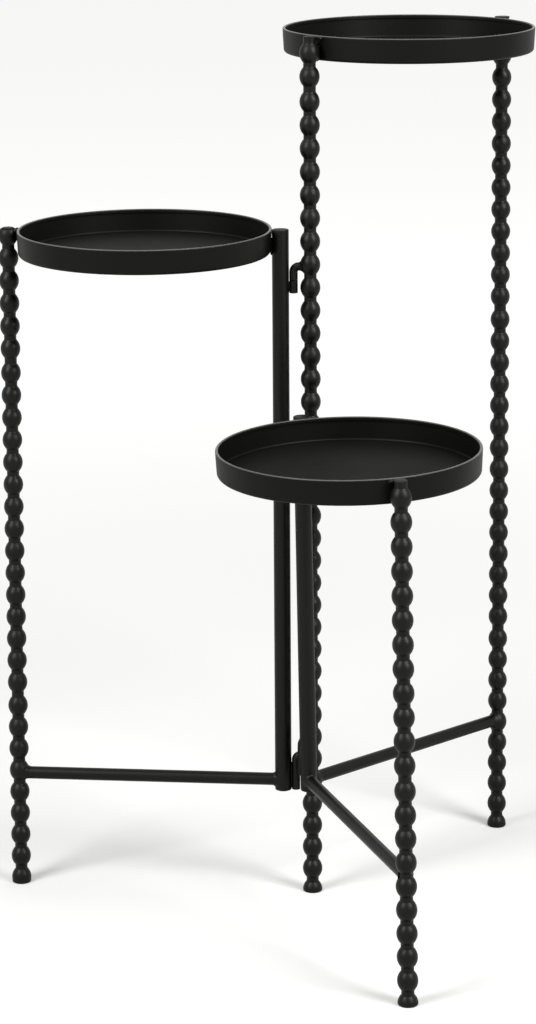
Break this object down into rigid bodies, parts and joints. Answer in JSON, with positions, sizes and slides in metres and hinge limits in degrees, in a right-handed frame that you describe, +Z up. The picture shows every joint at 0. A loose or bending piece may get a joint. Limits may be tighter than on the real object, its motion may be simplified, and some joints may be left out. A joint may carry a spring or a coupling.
{
  "type": "plant stand",
  "caption": "Folding tiered plant stand in black steel: shallow round trays on welded frames of beaded tube, the lower frames hinged on the tall leg.",
  "frame": {"origin": "centre of the tall hinge leg's foot, on the floor", "axes": "+Z up, +X to the right and +Y away from the viewer as the stand is pictured"},
  "size_m": [0.5117, 0.4884, 0.8355],
  "materials": {
    "black_powder_coat": "semi-matt black powder coat over steel",
    "black_cap": "satin black moulded end cap",
    "black_glide": "satin black moulded foot glide"
  },
  "bodies": {
    "centre_frame": {"centre_leg": "black_powder_coat", "centre_leg_cap": "black_cap", "centre_leg_foot": "black_glide", "rear_leg": "black_powder_coat", "rear_leg_cap": "black_cap", "rear_leg_foot": "black_glide", "top_tray": "black_powder_coat", "centre_stretcher": "black_powder_coat", "left_upper_hinge_arm": "black_powder_coat", "left_lower_hinge_arm": "black_powder_coat", "front_upper_hinge_arm": "black_powder_coat", "front_lower_hinge_arm": "black_powder_coat", "centre_frame_welds": "black_powder_coat"},
    "left_frame": {"left_leg": "black_powder_coat", "left_leg_cap": "black_cap", "left_leg_foot": "black_glide", "left_post": "black_powder_coat", "left_post_top_cap": "black_cap", "left_post_bottom_cap": "black_cap", "middle_tray": "black_powder_coat", "left_stretcher": "black_powder_coat", "left_upper_barrel": "black_powder_coat", "left_lower_barrel": "black_powder_coat", "left_frame_welds": "black_powder_coat"},
    "front_frame": {"front_leg": "black_powder_coat", "front_leg_cap": "black_cap", "front_leg_foot": "black_glide", "front_post": "black_powder_coat", "front_post_top_cap": "black_cap", "front_post_bottom_cap": "black_cap", "low_tray": "black_powder_coat", "front_stretcher": "black_powder_coat", "front_upper_barrel": "black_powder_coat", "front_lower_barrel": "black_powder_coat", "front_frame_welds": "black_powder_coat"}
  },
  "joints": [
    {"name": "left_fold", "type": "hinge", "parent": "centre_frame", "child": "left_frame", "pos_m": [-0.01576, 0.00119, 0], "axis": [0, 0, 1], "range_deg": [-95, 35]},
    {"name": "front_fold", "type": "hinge", "parent": "centre_frame", "child": "front_frame", "pos_m": [-0.01016, -0.0121, 0], "axis": [0, 0, 1], "range_deg": [-50, 30]}
  ]
}
